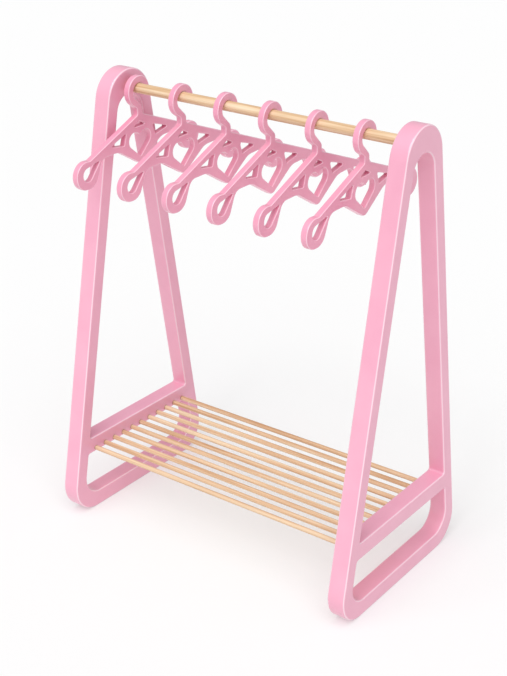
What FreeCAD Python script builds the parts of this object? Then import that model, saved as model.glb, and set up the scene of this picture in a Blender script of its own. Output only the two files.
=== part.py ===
"""A doll-size clothes rack: two A-shaped side frames, a dowel rail, a shelf of thin rods and six hangers.

Millimetres. X runs along the rail, Y from the front of the rack to its back, Z up. The origin is on the
surface that the rack stands on, midway between the side frames and midway between their feet.
"""
import FreeCAD
import Part
import math
import os

import Sketcher

# ---------------------------------------------------------------- driving dimensions

SIZES = {
    # whole rack
    "rack_width": 212.0,
    "rack_height": 278.0,
    # side frame: a hull of three round corners, with one opening above the crossbar and one below it
    "frame_thickness": 11.2,
    "apex_radius": 18.8,
    "foot_radius": 18.5,
    "foot_spread": 44.0,
    "leg_width": 9.0,
    "base_bar_height": 10.7,
    "crossbar_bottom": 40.0,
    "crossbar_top": 50.7,
    "upper_opening_top": 263.0,
    "lower_opening_radius": 12.0,
    "opening_corner_radius": 1.5,
    "frame_edge_radius": 1.2,
    # rail
    "rail_diameter": 6.0,
    "rail_height": 267.2,
    "rail_socket_depth": 7.0,
    # shelf
    "rod_diameter": 3.0,
    "rod_height": 42.6,
    "rod_row_width": 86.4,
    "rod_socket_depth": 6.0,
    "socket_clearance": 0.05,
    # hanger plate
    "hanger_thickness": 4.0,
    "hanger_edge_radius": 0.7,
    # hook: an open ring and its neck, a little behind the middle of the plate, so that the hanger hangs
    # with its front low. Every drop below is measured down from the centre of the ring.
    "hook_offset": 1.25,
    "hanger_tilt": 2.0,
    "hook_inner_radius": 5.0,
    "hook_width": 4.4,
    "hook_gap": 0.1,
    "hook_end_drop": 1.2,
    "neck_width": 4.7,
    "neck_outer_bend": 3.5,
    "neck_inner_bend": 1.8,
    "neck_bend_drop": 10.9,
    "neck_root_radius": 1.5,
    "neck_root_drop": 12.9,
    # end loops of the shoulder bars
    "loop_reach": 47.5,
    "loop_drop": 38.5,
    "loop_radius": 8.5,
    "loop_heel_reach": 46.0,
    "loop_heel_drop": 38.8,
    "loop_heel_radius": 8.3,
    "shoulder_blend_reach": 44.3,
    "shoulder_blend_drop": 28.8,
    "shoulder_blend_radius": 1.5,
    # teardrop opening of each loop: its round end and its narrow end
    "eye_reach": 46.4,
    "eye_drop": 38.2,
    "eye_radius": 4.0,
    "eye_tip_reach": 36.9,
    "eye_tip_drop": 32.9,
    "eye_tip_radius": 0.45,
    # underside of the plate: an arch of two bends on each side, and the rounded point between them
    "arch_outer_reach": 29.9,
    "arch_outer_drop": 37.9,
    "arch_outer_radius": 6.0,
    "arch_inner_reach": 23.2,
    "arch_inner_drop": 44.0,
    "arch_inner_radius": 12.0,
    "point_drop": 39.1,
    "point_radius": 4.5,
    # heart-shaped opening
    "heart_lobe_reach": 4.8,
    "heart_lobe_drop": 28.8,
    "heart_lobe_radius": 4.9,
    "heart_cusp_drop": 25.4,
    "heart_cusp_radius": 0.9,
    "heart_point_drop": 38.4,
    "heart_point_radius": 0.8,
    # brace openings beside the heart, corner centres
    "brace_inner_reach": 12.9,
    "brace_inner_drop": 23.4,
    "brace_outer_reach": 24.0,
    "brace_outer_drop": 27.1,
    "brace_lower_reach": 14.7,
    "brace_lower_drop": 28.8,
    "brace_corner_radius": 0.6,
    # slit under the neck, corner centres
    "slit_reach": 3.8,
    "slit_drop": 20.3,
    "slit_top_drop": 18.3,
    "slit_corner_radius": 0.4,
    # places of the hangers along the rail
    "hanger_1_place": -89.4,
    "hanger_2_place": -56.0,
    "hanger_3_place": -23.5,
    "hanger_4_place": 7.6,
    "hanger_5_place": 38.6,
    "hanger_6_place": 69.0,
}

ROD_COUNT = 11
HANGER_COUNT = 6
COUNTER_CLOCKWISE = 1
CLOCKWISE = -1
START_POINT = 1
END_POINT = 2
CENTRE_POINT = 3
ORIGIN = -1


def frame_sizes(sizes):
    """The side frame's lengths that follow from the driving ones: where its openings' corners lie."""
    apex_height = sizes["rack_height"] - sizes["apex_radius"]
    rise = apex_height - sizes["foot_radius"]
    centre_distance = math.hypot(sizes["foot_spread"], rise)
    taper = math.asin((sizes["apex_radius"] - sizes["foot_radius"]) / centre_distance)
    lean = math.atan2(sizes["foot_spread"], rise) - taper
    # A leg's outer face is the line y cos(lean) + z sin(lean) = outer; its inner face is one leg width in.
    outer = sizes["foot_radius"] * (1 + math.sin(lean)) + sizes["foot_spread"] * math.cos(lean)
    inner = outer - sizes["leg_width"]

    def corner_spread(radius, height):
        return (inner - radius - height * math.sin(lean)) / math.cos(lean)

    corner = sizes["opening_corner_radius"]
    foot_corner = sizes["lower_opening_radius"]
    inner_apex = (inner - sizes["upper_opening_top"] * math.sin(lean)) / (1 - math.sin(lean))
    upper_corner_height = sizes["crossbar_top"] + corner
    lower_corner_height = sizes["crossbar_bottom"] - corner
    foot_corner_height = sizes["base_bar_height"] + foot_corner
    return {
        "apex_height": apex_height,
        "inner_apex_radius": inner_apex,
        "inner_apex_height": sizes["upper_opening_top"] - inner_apex,
        "upper_corner_height": upper_corner_height,
        "upper_corner_spread": corner_spread(corner, upper_corner_height),
        "lower_corner_height": lower_corner_height,
        "lower_corner_spread": corner_spread(corner, lower_corner_height),
        "foot_corner_height": foot_corner_height,
        "foot_corner_spread": corner_spread(foot_corner, foot_corner_height),
        "rail_socket_radius": sizes["rail_diameter"] / 2 + sizes["socket_clearance"],
        "rod_socket_radius": sizes["rod_diameter"] / 2 + sizes["socket_clearance"],
        "rod_pitch": sizes["rod_row_width"] / (ROD_COUNT - 1),
    }


def hook_sizes(sizes):
    """The hook's and neck's lengths that follow from the driving ones, and where a hanger's plate hangs."""
    rail_top = sizes["rail_height"] + sizes["rail_diameter"] / 2
    hook_height = rail_top + sizes["hook_gap"] - sizes["hook_inner_radius"]
    tilt = math.radians(sizes["hanger_tilt"])
    offset = sizes["hook_offset"]
    half_neck = sizes["neck_width"] / 2
    return {
        "hook_outer_radius": sizes["hook_inner_radius"] + sizes["hook_width"],
        "hook_end_radius": sizes["hook_width"] / 2,
        "hook_end_reach": offset + sizes["hook_inner_radius"] + sizes["hook_width"] / 2,
        "neck_outer_bend_reach": offset + half_neck - sizes["neck_outer_bend"],
        "neck_inner_bend_reach": offset - half_neck - sizes["neck_inner_bend"],
        "neck_back_root_reach": offset + half_neck + sizes["neck_root_radius"],
        "neck_front_root_reach": offset - half_neck - sizes["neck_root_radius"],
        "plate_place": -offset * math.cos(tilt),
        "plate_height": hook_height - offset * math.sin(tilt),
        "zero": 0.0,
    }


# ---------------------------------------------------------------- document and sheet

doc = FreeCAD.newDocument("ClothesRack")
sheet = doc.addObject("Spreadsheet::Sheet", "Sizes")
VALUES = dict(SIZES)
VALUES.update(frame_sizes(SIZES))
VALUES.update(hook_sizes(SIZES))
for row, (alias, number) in enumerate(VALUES.items(), start=1):
    sheet.set("A%d" % row, alias)
    sheet.set("B%d" % row, "%.6f" % number)
    sheet.setAlias("B%d" % row, alias)
doc.recompute()


def signed(name):
    """The number and the sheet expression of an alias, with a leading minus sign for its negative."""
    if name.startswith("-"):
        return -VALUES[name[1:]], "-Sizes." + name[1:]
    return VALUES[name], "Sizes." + name


def bind(target, prop, expression):
    """Ties one property of an object to the sheet."""
    target.setExpression(prop, expression)


# ---------------------------------------------------------------- sketch helpers


def yz_plane(body):
    """The body's own YZ plane, whose sketches have Y to the right and Z up."""
    return next(f for f in body.Origin.OriginFeatures if f.Role == "YZ_Plane")


def new_sketch(body, name, offset=None):
    """An empty sketch on the body's YZ plane, moved along X by a sheet length if one is given."""
    sketch = body.newObject("Sketcher::SketchObject", name)
    sketch.AttachmentSupport = [(yz_plane(body), "")]
    sketch.MapMode = "FlatFace"
    if offset:
        bind(sketch, "AttachmentOffset.Base.z", "Sizes." + offset)
    return sketch


def tangent_angle(start, end):
    """Direction of the straight run of a belt from one round stop to the next."""
    dy = end["y"] - start["y"]
    dz = end["z"] - start["z"]
    lateral = end["turn"] * end["radius"] - start["turn"] * start["radius"]
    return math.atan2(dz, dy) - math.asin(lateral / math.hypot(dy, dz))


def touch_point(stop, direction):
    """Where a run in that direction touches a stop."""
    reach = -stop["turn"] * stop["radius"]
    y = stop["y"] - reach * math.sin(direction)
    z = stop["z"] + reach * math.cos(direction)
    return y, z


def read_stop(stop):
    """A round stop as numbers and expressions, from (y alias, z alias, radius alias, turn)."""
    y, y_text = signed(stop[0])
    z, z_text = signed(stop[1])
    radius, radius_text = signed(stop[2])
    texts = (y_text, z_text, radius_text)
    return {"y": y, "z": z, "radius": radius, "turn": stop[3], "texts": texts}


def read_circle(y_alias, z_alias, radius_alias):
    """A full circle's place and size as numbers and expressions."""
    return read_stop((y_alias, z_alias, radius_alias, COUNTER_CLOCKWISE))


def fix_circles(sketch, geometries, stops):
    """Places and sizes circles or arcs from the origin, and ties every number to the sheet."""
    constraints = []
    texts = []
    for geometry, stop in zip(geometries, stops):
        for kind, number in (("DistanceX", stop["y"]), ("DistanceY", stop["z"])):
            constraints.append(Sketcher.Constraint(
                kind, ORIGIN, START_POINT, geometry, CENTRE_POINT, number))
        constraints.append(Sketcher.Constraint("Radius", geometry, stop["radius"]))
        texts.extend(stop["texts"])
    first = sketch.ConstraintCount
    sketch.addConstraint(constraints)
    for offset, text in enumerate(texts):
        bind(sketch, "Constraints[%d]" % (first + offset), text)


def add_belt(sketch, stops):
    """Draws a closed outline as a belt: an arc round each stop, joined by straight runs tangent to them."""
    stops = [read_stop(s) for s in stops]
    count = len(stops)
    directions = [tangent_angle(stops[i], stops[(i + 1) % count]) for i in range(count)]
    arcs = []
    for i, stop in enumerate(stops):
        arrive = touch_point(stop, directions[i - 1])
        leave = touch_point(stop, directions[i])
        first, last = (arrive, leave) if stop["turn"] == COUNTER_CLOCKWISE else (leave, arrive)
        angles = [math.atan2(z - stop["z"], y - stop["y"]) for y, z in (first, last)]
        centre = FreeCAD.Vector(stop["y"], stop["z"], 0)
        circle = Part.Circle(centre, FreeCAD.Vector(0, 0, 1), stop["radius"])
        arcs.append(sketch.addGeometry(Part.ArcOfCircle(circle, angles[0], angles[1]), False))
    tangents = []
    for i, stop in enumerate(stops):
        after = (i + 1) % count
        begin = FreeCAD.Vector(*touch_point(stop, directions[i]), 0)
        finish = FreeCAD.Vector(*touch_point(stops[after], directions[i]), 0)
        line = sketch.addGeometry(Part.LineSegment(begin, finish), False)
        leave_end = END_POINT if stop["turn"] == COUNTER_CLOCKWISE else START_POINT
        arrive_end = START_POINT if stops[after]["turn"] == COUNTER_CLOCKWISE else END_POINT
        tangents.append(
            Sketcher.Constraint("Tangent", arcs[i], leave_end, line, START_POINT))
        tangents.append(
            Sketcher.Constraint("Tangent", line, END_POINT, arcs[after], arrive_end))
    sketch.addConstraint(tangents)
    fix_circles(sketch, arcs, stops)


def add_circles(sketch, stops):
    """Draws a full circle at each stop."""
    circles = []
    for stop in stops:
        centre = FreeCAD.Vector(stop["y"], stop["z"], 0)
        circle = Part.Circle(centre, FreeCAD.Vector(0, 0, 1), stop["radius"])
        circles.append(sketch.addGeometry(circle, False))
    fix_circles(sketch, circles, stops)


def mirror_name(name):
    """The alias for the same place on the other side of the middle."""
    if name.startswith("-"):
        return name[1:]
    return name if name == "zero" else "-" + name


def mirrored(stops):
    """The same stops on the other side of the middle, in the order that keeps the belt's direction."""
    return [(mirror_name(y), z, radius, turn) for y, z, radius, turn in reversed(stops)]


def new_pad(body, sketch, thickness):
    pad = body.newObject("PartDesign::Pad", body.Name + "_Pad")
    pad.Profile = sketch
    bind(pad, "Length", "Sizes." + thickness)
    doc.recompute()
    return pad


def round_face_edges(body, base, thickness, radius):
    """Rounds every edge of the two flat faces."""
    flats = (0.0, VALUES[thickness])
    names = []
    for number, edge in enumerate(base.Shape.Edges, start=1):
        box = edge.BoundBox
        if any(abs(box.XMin - x) < 1e-6 and abs(box.XMax - x) < 1e-6 for x in flats):
            names.append("Edge%d" % number)
    fillet = body.newObject("PartDesign::Fillet", body.Name + "_RoundedEdges")
    fillet.Base = (base, names)
    bind(fillet, "Radius", "Sizes." + radius)
    doc.recompute()
    return fillet


def cut_pocket(body, sketch, depth, name):
    """Cuts a blind pocket from the sketch towards -X, and makes sure that it removed something."""
    before = body.Shape.Volume
    pocket = body.newObject("PartDesign::Pocket", name)
    pocket.Profile = sketch
    bind(pocket, "Length", "Sizes." + depth)
    doc.recompute()
    if body.Shape.Volume >= before:
        raise RuntimeError(name + " cut nothing")
    return pocket


def place(piece, x_expression, y_expression="0", z_expression="0"):
    bind(piece, "Placement.Base.x", x_expression)
    bind(piece, "Placement.Base.y", y_expression)
    bind(piece, "Placement.Base.z", z_expression)


# ---------------------------------------------------------------- side frames


def pitches_from_middle(number):
    """How many rod pitches a rod of the row lies behind the middle of the rack."""
    return number - (ROD_COUNT - 1) / 2


def rod_socket(number):
    """The socket of one rod of the row."""
    socket = read_circle("zero", "rod_height", "rod_socket_radius")
    steps = pitches_from_middle(number)
    socket["y"] = steps * VALUES["rod_pitch"]
    socket["texts"] = ("%g * Sizes.rod_pitch" % steps,) + socket["texts"][1:]
    return socket


def side_frame(label, x_expression, turned):
    """One A-shaped side. Its sockets are in the face that looks at the other side."""
    body = doc.addObject("PartDesign::Body", label)
    body.Label = label
    outline = new_sketch(body, label + "_Outline")
    add_belt(outline, [
        ("foot_spread", "foot_radius", "foot_radius", COUNTER_CLOCKWISE),
        ("zero", "apex_height", "apex_radius", COUNTER_CLOCKWISE),
        ("-foot_spread", "foot_radius", "foot_radius", COUNTER_CLOCKWISE),
    ])
    corner = "opening_corner_radius"
    add_belt(outline, [
        ("upper_corner_spread", "upper_corner_height", corner, COUNTER_CLOCKWISE),
        ("zero", "inner_apex_height", "inner_apex_radius", COUNTER_CLOCKWISE),
        ("-upper_corner_spread", "upper_corner_height", corner, COUNTER_CLOCKWISE),
    ])
    add_belt(outline, [
        ("foot_corner_spread", "foot_corner_height", "lower_opening_radius", COUNTER_CLOCKWISE),
        ("lower_corner_spread", "lower_corner_height", corner, COUNTER_CLOCKWISE),
        ("-lower_corner_spread", "lower_corner_height", corner, COUNTER_CLOCKWISE),
        ("-foot_corner_spread", "foot_corner_height", "lower_opening_radius", COUNTER_CLOCKWISE),
    ])
    pad = new_pad(body, outline, "frame_thickness")
    round_face_edges(body, pad, "frame_thickness", "frame_edge_radius")

    rail_socket = new_sketch(body, label + "_RailSocket", "frame_thickness")
    add_circles(rail_socket, [read_circle("zero", "rail_height", "rail_socket_radius")])
    cut_pocket(body, rail_socket, "rail_socket_depth", label + "_RailPocket")

    rod_sockets = new_sketch(body, label + "_RodSockets", "frame_thickness")
    add_circles(rod_sockets, [rod_socket(number) for number in range(ROD_COUNT)])
    cut_pocket(body, rod_sockets, "rod_socket_depth", label + "_RodPockets")

    if turned:
        body.Placement = FreeCAD.Placement(
            FreeCAD.Vector(0, 0, 0), FreeCAD.Rotation(FreeCAD.Vector(0, 0, 1), 180))
    place(body, x_expression)
    return body


# ---------------------------------------------------------------- rail and shelf rods


def dowel(label, diameter, socket_depth, y_expression, z_expression):
    """A round bar along X whose ends stand on the bottoms of its two sockets."""
    bar = doc.addObject("Part::Cylinder", label)
    bar.Label = label
    half_span = "(Sizes.rack_width / 2 - Sizes.frame_thickness + Sizes.%s)" % socket_depth
    bind(bar, "Radius", "Sizes.%s / 2" % diameter)
    bind(bar, "Height", "2 * " + half_span)
    bar.Placement = FreeCAD.Placement(
        FreeCAD.Vector(0, 0, 0), FreeCAD.Rotation(FreeCAD.Vector(0, 1, 0), 90))
    place(bar, "-" + half_span, y_expression, z_expression)
    return bar


# ---------------------------------------------------------------- hangers


def hanger_outline(sketch):
    """Outer edge of a hanger, travelled counter-clockwise from the point of its plate."""
    side = [
        ("arch_inner_reach", "-arch_inner_drop", "arch_inner_radius", CLOCKWISE),
        ("arch_outer_reach", "-arch_outer_drop", "arch_outer_radius", CLOCKWISE),
        ("loop_heel_reach", "-loop_heel_drop", "loop_heel_radius", COUNTER_CLOCKWISE),
        ("loop_reach", "-loop_drop", "loop_radius", COUNTER_CLOCKWISE),
        ("shoulder_blend_reach", "-shoulder_blend_drop", "shoulder_blend_radius", CLOCKWISE),
    ]
    hook = [
        ("neck_back_root_reach", "-neck_root_drop", "neck_root_radius", CLOCKWISE),
        ("neck_outer_bend_reach", "-neck_bend_drop", "neck_outer_bend", COUNTER_CLOCKWISE),
        ("hook_offset", "zero", "hook_inner_radius", CLOCKWISE),
        ("hook_end_reach", "-hook_end_drop", "hook_end_radius", COUNTER_CLOCKWISE),
        ("hook_offset", "zero", "hook_outer_radius", COUNTER_CLOCKWISE),
        ("neck_inner_bend_reach", "-neck_bend_drop", "neck_inner_bend", CLOCKWISE),
        ("neck_front_root_reach", "-neck_root_drop", "neck_root_radius", CLOCKWISE),
    ]
    point = [("zero", "-point_drop", "point_radius", COUNTER_CLOCKWISE)]
    add_belt(sketch, point + side + hook + mirrored(side))


def hanger_openings(sketch):
    """The heart, the slit under the neck and, on each side, a brace opening and the loop's teardrop."""
    lobe = ("heart_lobe_reach", "-heart_lobe_drop", "heart_lobe_radius", COUNTER_CLOCKWISE)
    heart_point = ("zero", "-heart_point_drop", "heart_point_radius", COUNTER_CLOCKWISE)
    cusp = ("zero", "-heart_cusp_drop", "heart_cusp_radius", CLOCKWISE)
    add_belt(sketch, [heart_point, lobe, cusp] + mirrored([lobe]))

    slit_end = ("slit_reach", "-slit_drop", "slit_corner_radius", COUNTER_CLOCKWISE)
    slit_top = ("zero", "-slit_top_drop", "slit_corner_radius", COUNTER_CLOCKWISE)
    add_belt(sketch, [slit_end, slit_top] + mirrored([slit_end]))

    brace = [
        ("brace_lower_reach", "-brace_lower_drop", "brace_corner_radius", COUNTER_CLOCKWISE),
        ("brace_outer_reach", "-brace_outer_drop", "brace_corner_radius", COUNTER_CLOCKWISE),
        ("brace_inner_reach", "-brace_inner_drop", "brace_corner_radius", COUNTER_CLOCKWISE),
    ]
    teardrop = [
        ("eye_reach", "-eye_drop", "eye_radius", COUNTER_CLOCKWISE),
        ("eye_tip_reach", "-eye_tip_drop", "eye_tip_radius", COUNTER_CLOCKWISE),
    ]
    for opening in (brace, teardrop):
        add_belt(sketch, opening)
        add_belt(sketch, mirrored(opening))


def hang(body):
    """Hooks a hanger over the rail at its own place along it, turned about X until its weight is at rest."""
    about_x = FreeCAD.Rotation(FreeCAD.Vector(1, 0, 0), VALUES["hanger_tilt"])
    body.Placement = FreeCAD.Placement(FreeCAD.Vector(0, 0, 0), about_x)
    bind(body, "Placement.Rotation.Angle", "Sizes.hanger_tilt * 1 deg")
    x_expression = "Sizes.%s_place - Sizes.hanger_thickness / 2" % body.Label
    place(body, x_expression, "Sizes.plate_place", "Sizes.plate_height")
    return body


def first_hanger(label):
    """The hanger as it is designed: one flat plate with every edge rounded."""
    body = doc.addObject("PartDesign::Body", label)
    body.Label = label
    outline = new_sketch(body, label + "_Outline")
    hanger_outline(outline)
    hanger_openings(outline)
    pad = new_pad(body, outline, "hanger_thickness")
    round_face_edges(body, pad, "hanger_thickness", "hanger_edge_radius")
    return hang(body)


def repeated_hanger(label, original):
    """Another hanger from the same mould: a body whose only feature is a clone of the first one."""
    body = doc.addObject("PartDesign::Body", label)
    body.Label = label
    clone = doc.addObject("PartDesign::FeatureBase", label + "_Clone")
    clone.BaseFeature = original
    body.Group = [clone]
    body.Tip = clone
    return hang(body)


# ---------------------------------------------------------------- assembly

pieces = [
    side_frame("left_side_frame", "-Sizes.rack_width / 2", turned=False),
    side_frame("right_side_frame", "Sizes.rack_width / 2", turned=True),
    dowel("hanging_rail", "rail_diameter", "rail_socket_depth", "0", "Sizes.rail_height"),
]
for number in range(ROD_COUNT):
    row_place = "%g * Sizes.rod_pitch" % pitches_from_middle(number)
    label = "shelf_rod_%02d" % (number + 1)
    pieces.append(dowel(label, "rod_diameter", "rod_socket_depth", row_place, "Sizes.rod_height"))
designed_hanger = first_hanger("hanger_1")
pieces.append(designed_hanger)
for number in range(2, HANGER_COUNT + 1):
    pieces.append(repeated_hanger("hanger_%d" % number, designed_hanger))

doc.recompute()

for item in doc.Objects:
    if "Invalid" in item.State or "Error" in item.State:
        raise RuntimeError("%s failed: %s" % (item.Label, item.State))
os.makedirs("parts", exist_ok=True)
for piece in pieces:
    if piece.Shape.isNull() or not piece.Shape.isValid():
        raise RuntimeError("%s has no valid shape" % piece.Label)
    if len(piece.Shape.Solids) != 1:
        raise RuntimeError("%s is not one solid" % piece.Label)
    piece.Shape.exportStep("parts/%s.step" % piece.Label)
    print("%-18s %9.1f mm3  %s" % (piece.Label, piece.Shape.Volume, piece.Shape.BoundBox))
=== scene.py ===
"""The looks of a doll-size clothes rack, built round its CAD model: materials, floor, light and camera."""
import math

import bpy
from mathutils import Matrix, Vector

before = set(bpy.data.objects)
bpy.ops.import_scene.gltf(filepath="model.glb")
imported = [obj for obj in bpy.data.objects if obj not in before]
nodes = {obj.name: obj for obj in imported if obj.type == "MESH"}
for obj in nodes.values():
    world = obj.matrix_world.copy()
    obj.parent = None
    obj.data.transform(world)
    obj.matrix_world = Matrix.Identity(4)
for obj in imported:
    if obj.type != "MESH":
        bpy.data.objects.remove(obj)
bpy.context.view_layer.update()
MM = 0.001

# ---------------------------------------------------------------- camera

# Yaw from -Y towards +X, pitch down and roll clockwise, in degrees.
CAMERA_YAW = 36.13
CAMERA_PITCH = 24.61
CAMERA_ROLL = 0.38
CAMERA_LENS_MM = 72.49
CAMERA_DISTANCE = 0.8085
CAMERA_AIM = Vector((0.0, -0.0039, 0.1309))


def add_camera():
    """The camera stands on the viewing line through the aim point."""
    yaw, pitch, roll = (math.radians(a) for a in (CAMERA_YAW, CAMERA_PITCH, CAMERA_ROLL))
    forward = Vector((-math.sin(yaw) * math.cos(pitch), math.cos(yaw) * math.cos(pitch), -math.sin(pitch)))
    right = Vector((math.cos(yaw), math.sin(yaw), 0.0))
    up = right.cross(forward)
    turned_right = right * math.cos(roll) + up * math.sin(roll)
    turned_up = up * math.cos(roll) - right * math.sin(roll)
    rotation = Matrix((turned_right, turned_up, -forward)).transposed().to_4x4()
    data = bpy.data.cameras.new("camera")
    data.lens = CAMERA_LENS_MM
    camera = bpy.data.objects.new("camera", data)
    camera.matrix_world = Matrix.Translation(CAMERA_AIM - forward * CAMERA_DISTANCE) @ rotation
    bpy.context.scene.collection.objects.link(camera)
    bpy.context.scene.camera = camera


# ---------------------------------------------------------------- shader helpers


def srgb(hex_colour):
    """A linear colour with alpha, from six hexadecimal digits."""
    channels = [int(hex_colour[i:i + 2], 16) / 255 for i in (0, 2, 4)]
    linear = [c / 12.92 if c <= 0.04045 else ((c + 0.055) / 1.055) ** 2.4 for c in channels]
    return (*linear, 1.0)


def new_material(name):
    """A new material, its node tree and the Principled shader in that tree."""
    material = bpy.data.materials.new(name)
    material.use_nodes = True
    tree = material.node_tree
    return material, tree, tree.nodes["Principled BSDF"]


def add_node(tree, kind, **settings):
    node = tree.nodes.new(kind)
    for name, value in settings.items():
        setattr(node, name, value)
    return node


def scaled_coordinates(tree, scale, offset=(0.0, 0.0, 0.0)):
    """The piece's own coordinates in metres, multiplied by a scale along each axis and then moved."""
    source = add_node(tree, "ShaderNodeTexCoord")
    mapping = add_node(tree, "ShaderNodeMapping")
    mapping.inputs["Scale"].default_value = scale
    mapping.inputs["Location"].default_value = offset
    tree.links.new(source.outputs["Object"], mapping.inputs["Vector"])
    return mapping.outputs["Vector"]


def noise(tree, vector, detail=2.0, roughness=0.5):
    """Smooth noise from 0 to 1, whose cells are 1 unit of the vector wide."""
    node = add_node(tree, "ShaderNodeTexNoise")
    node.inputs["Scale"].default_value = 1.0
    node.inputs["Detail"].default_value = detail
    node.inputs["Roughness"].default_value = roughness
    tree.links.new(vector, node.inputs["Vector"])
    return node.outputs["Fac"]


def ramp(tree, value, stops):
    """Colours along a value, from (position, colour) pairs."""
    node = add_node(tree, "ShaderNodeValToRGB")
    elements = node.color_ramp.elements
    while len(elements) < len(stops):
        elements.new(0.5)
    for element, (position, colour) in zip(elements, stops):
        element.position = position
        element.color = colour
    tree.links.new(value, node.inputs["Fac"])
    return node.outputs["Color"]


def rescale(tree, value, low, high, from_low=0.3, from_high=0.7):
    """Moves a value's stretch from from_low to from_high onto low to high, and holds it there outside."""
    node = add_node(tree, "ShaderNodeMapRange")
    limits = {"From Min": from_low, "From Max": from_high, "To Min": low, "To Max": high}
    for socket, number in limits.items():
        node.inputs[socket].default_value = number
    tree.links.new(value, node.inputs["Value"])
    return node.outputs["Result"]


def bump(tree, shader, height, distance, strength):
    node = add_node(tree, "ShaderNodeBump")
    node.inputs["Strength"].default_value = strength
    node.inputs["Distance"].default_value = distance
    tree.links.new(height, node.inputs["Height"])
    tree.links.new(node.outputs["Normal"], shader.inputs["Normal"])


def arithmetic(tree, operation, first, second):
    """One step of arithmetic; each operand is an output socket or a number."""
    node = add_node(tree, "ShaderNodeMath", operation=operation)
    for socket, value in zip(node.inputs, (first, second)):
        if isinstance(value, (int, float)):
            socket.default_value = value
        else:
            tree.links.new(value, socket)
    return node.outputs["Value"]


def scaled(tree, colour, factor):
    """A colour multiplied by a factor."""
    node = add_node(tree, "ShaderNodeVectorMath", operation="SCALE")
    tree.links.new(colour, node.inputs[0])
    tree.links.new(factor, node.inputs["Scale"])
    return node.outputs["Vector"]


def blended(tree, factor, colour, other):
    """The first colour where the factor is 0 and the other, a constant, where it is 1."""
    node = add_node(tree, "ShaderNodeMix", data_type="RGBA")
    sockets = {socket.identifier: socket for socket in node.inputs}
    tree.links.new(factor, sockets["Factor_Float"])
    tree.links.new(colour, sockets["A_Color"])
    sockets["B_Color"].default_value = other
    return next(socket for socket in node.outputs if socket.identifier == "Result_Color")


# ---------------------------------------------------------------- moulded plastic

# How many cells of noise a metre holds.
CLOUD_CELLS = (38.0, 38.0, 38.0)
PATCH_CELLS = (90.0, 90.0, 90.0)
PATCH_OFFSET = (3.0, 1.0, 2.0)
SKIN_CELLS = (1500.0, 1500.0, 1500.0)
SKIN_DEPTH = 0.02 * MM
PLASTIC_ROUGHNESS = (0.32, 0.40)
EDGE_SMOOTHING = 0.12
# How far the rounded edges' colour is blended towards the pale edge tint: a painted highlight.
EDGE_HIGHLIGHT_PAINT = 0.75


def rounded_edge(tree):
    """1 in the middle of a plate's rounded edges, 0 on its faces and walls. The plates all lie across X."""
    geometry = add_node(tree, "ShaderNodeNewGeometry")
    parts = add_node(tree, "ShaderNodeSeparateXYZ")
    tree.links.new(geometry.outputs["Normal"], parts.inputs["Vector"])
    square = arithmetic(tree, "MULTIPLY", parts.outputs["X"], parts.outputs["X"])
    rest = arithmetic(tree, "SUBTRACT", 1.0, square)
    return arithmetic(tree, "MULTIPLY", arithmetic(tree, "MULTIPLY", square, rest), 4.0)


def moulded_plastic(name, light, dark, edge_highlight):
    """Satin plastic: a faint cloudiness in the colour, the fine skin of a mould, shinier edges and a painted
    highlight that makes the rounded edges paler.
    """
    material, tree, shader = new_material(name)
    cloud = noise(tree, scaled_coordinates(tree, CLOUD_CELLS), detail=3.0)
    colour = ramp(tree, cloud, [(0.32, srgb(dark)), (0.68, srgb(light))])
    rounded = rounded_edge(tree)
    # Painted highlight: the colour on the rounded edges is blended towards a pale tint.
    painted_highlight = rescale(tree, rounded, 0.0, EDGE_HIGHLIGHT_PAINT, from_low=0.4, from_high=1.0)
    tree.links.new(blended(tree, painted_highlight, colour, srgb(edge_highlight)), shader.inputs["Base Color"])
    skin = noise(tree, scaled_coordinates(tree, SKIN_CELLS))
    bump(tree, shader, skin, SKIN_DEPTH, strength=0.25)
    patches = noise(tree, scaled_coordinates(tree, PATCH_CELLS, PATCH_OFFSET))
    roughness = rescale(tree, patches, *PLASTIC_ROUGHNESS)
    smoothing = arithmetic(tree, "MULTIPLY", rounded, EDGE_SMOOTHING)
    tree.links.new(arithmetic(tree, "SUBTRACT", roughness, smoothing), shader.inputs["Roughness"])
    shader.inputs["Specular IOR Level"].default_value = 0.5
    shader.inputs["Coat Weight"].default_value = 0.5
    shader.inputs["Coat Roughness"].default_value = 0.16
    return material


# ---------------------------------------------------------------- bare wood

# How many cells of noise a metre holds along the grain and across it.
STREAK_CELLS = (9.0, 420.0, 420.0)
FIBRE_CELLS = (60.0, 2600.0, 2600.0)
FIBRE_DEPTH = 0.03 * MM
WOOD_ROUGHNESS = (0.5, 0.62)
# Painted shade: a dowel's colour is darkened where it enters its sockets in the side frames' inner faces.
INNER_FACE = 94.8 * MM
SOCKET_SHADE = 0.55
SOCKET_SHADE_WIDTH = 0.9 * MM


def painted_socket_shade(tree, colour):
    """Painted shade: darkens a dowel's colour along the last fraction of a millimetre before the frames'
    inner faces.
    """
    source = add_node(tree, "ShaderNodeTexCoord")
    parts = add_node(tree, "ShaderNodeSeparateXYZ")
    tree.links.new(source.outputs["Object"], parts.inputs["Vector"])
    reach = add_node(tree, "ShaderNodeMath", operation="ABSOLUTE")
    tree.links.new(parts.outputs["X"], reach.inputs[0])
    start = INNER_FACE - SOCKET_SHADE_WIDTH
    shade = rescale(tree, reach.outputs["Value"], 1.0, SOCKET_SHADE, from_low=start, from_high=INNER_FACE)
    return scaled(tree, colour, shade)


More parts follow.
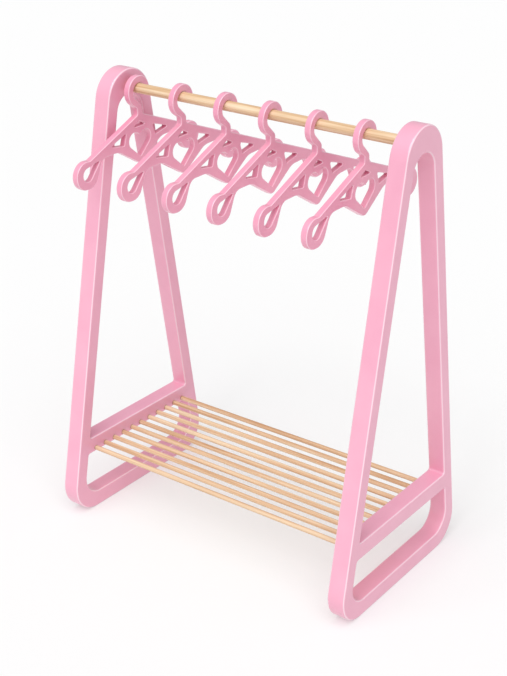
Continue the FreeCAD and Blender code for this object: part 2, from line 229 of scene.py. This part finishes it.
def bare_wood(name, seed, light, middle, dark):
    """Pale sanded wood whose grain runs along X: broad streaks, fine fibres and painted shade at the ends by
    the frames.

    Each seed moves the grain, so that no two dowels look the same.
    """
    material, tree, shader = new_material(name)
    shift = (seed * 3.7, seed * 1.3, seed * 2.1)
    streaks = noise(tree, scaled_coordinates(tree, STREAK_CELLS, shift), detail=3.0, roughness=0.6)
    colour = ramp(tree, streaks, [(0.3, srgb(dark)), (0.5, srgb(middle)), (0.7, srgb(light))])
    fibres = noise(tree, scaled_coordinates(tree, FIBRE_CELLS, shift))
    colour = scaled(tree, colour, rescale(tree, fibres, 0.92, 1.0))
    tree.links.new(painted_socket_shade(tree, colour), shader.inputs["Base Color"])
    bump(tree, shader, fibres, FIBRE_DEPTH, strength=0.4)
    tree.links.new(rescale(tree, streaks, *WOOD_ROUGHNESS), shader.inputs["Roughness"])
    shader.inputs["Specular IOR Level"].default_value = 0.35
    return material


# ---------------------------------------------------------------- pieces


def give_material(piece, material):
    piece.data.materials.clear()
    piece.data.materials.append(material)


def finish_frames():
    frame_pink = moulded_plastic("frame_pink", light="F3AFC6", dark="EFA7C0", edge_highlight="FFE8F0")
    for name in ("left_side_frame", "right_side_frame"):
        give_material(nodes[name], frame_pink)


def finish_hangers():
    hanger_pink = moulded_plastic("hanger_pink", light="F3A7C0", dark="ED9CB8", edge_highlight="FFE4EE")
    for name in nodes:
        if name.startswith("hanger_"):
            give_material(nodes[name], hanger_pink)


def finish_rail():
    rail_wood = bare_wood("rail_wood", seed=1, light="F5DFC0", middle="E4C39C", dark="C49769")
    give_material(nodes["hanging_rail"], rail_wood)


def finish_rods():
    rods = sorted(name for name in nodes if name.startswith("shelf_rod"))
    for seed, name in enumerate(rods, start=2):
        rod_wood = bare_wood(name + "_wood", seed, light="F0D8B8", middle="E0BC98", dark="BF9068")
        give_material(nodes[name], rod_wood)


# ---------------------------------------------------------------- floor and light

FLOOR_SIZE = 6.0
FLOOR_GREY = 0.56
FLOOR_GLOW = 0.36
FLOOR_ROUGHNESS = 0.8
WORLD_STRENGTH = 0.46
LIGHT_DISTANCE = 2.0


def add_floor():
    """A white table that glows faintly, so that it stays white and still takes soft shadows."""
    mesh = bpy.data.meshes.new("floor")
    half = FLOOR_SIZE / 2
    corners = [(-half, -half, 0), (half, -half, 0), (half, half, 0), (-half, half, 0)]
    mesh.from_pydata(corners, [], [(0, 1, 2, 3)])
    floor = bpy.data.objects.new("floor", mesh)
    bpy.context.scene.collection.objects.link(floor)
    material, _, shader = new_material("floor_white")
    shader.inputs["Base Color"].default_value = (FLOOR_GREY, FLOOR_GREY, FLOOR_GREY, 1.0)
    shader.inputs["Emission Color"].default_value = (1.0, 1.0, 1.0, 1.0)
    shader.inputs["Emission Strength"].default_value = FLOOR_GLOW
    shader.inputs["Roughness"].default_value = FLOOR_ROUGHNESS
    shader.inputs["Specular IOR Level"].default_value = 0.0
    mesh.materials.append(material)


def add_light(name, azimuth, elevation, spread, strength):
    """A far round softbox, as even over the floor as over the rack.

    Azimuth 0 stands on the -Y side and 90 on the +X side. The spread is the angle that the softbox fills. All
    angles are in degrees. The strength is how bright it would make a white floor from straight above.
    """
    a, e = math.radians(azimuth), math.radians(elevation)
    way = Vector((math.sin(a) * math.cos(e), -math.cos(a) * math.cos(e), math.sin(e)))
    data = bpy.data.lights.new(name, "SUN")
    data.angle = math.radians(spread)
    data.energy = strength * math.pi
    light = bpy.data.objects.new(name, data)
    light.location = way * LIGHT_DISTANCE
    light.rotation_euler = (-way).to_track_quat("-Z", "Y").to_euler()
    bpy.context.scene.collection.objects.link(light)


def add_world():
    world = bpy.data.worlds.new("studio")
    world.use_nodes = True
    background = world.node_tree.nodes["Background"]
    background.inputs["Color"].default_value = (1.0, 1.0, 1.0, 1.0)
    background.inputs["Strength"].default_value = WORLD_STRENGTH
    bpy.context.scene.world = world


# ---------------------------------------------------------------- build

add_camera()
finish_frames()
finish_hangers()
finish_rail()
finish_rods()
add_floor()
add_world()
add_light("key_light", azimuth=20, elevation=60, spread=65, strength=0.66)
add_light("edge_light", azimuth=5, elevation=52, spread=14, strength=0.12)
bpy.context.scene.view_settings.view_transform = "Standard"
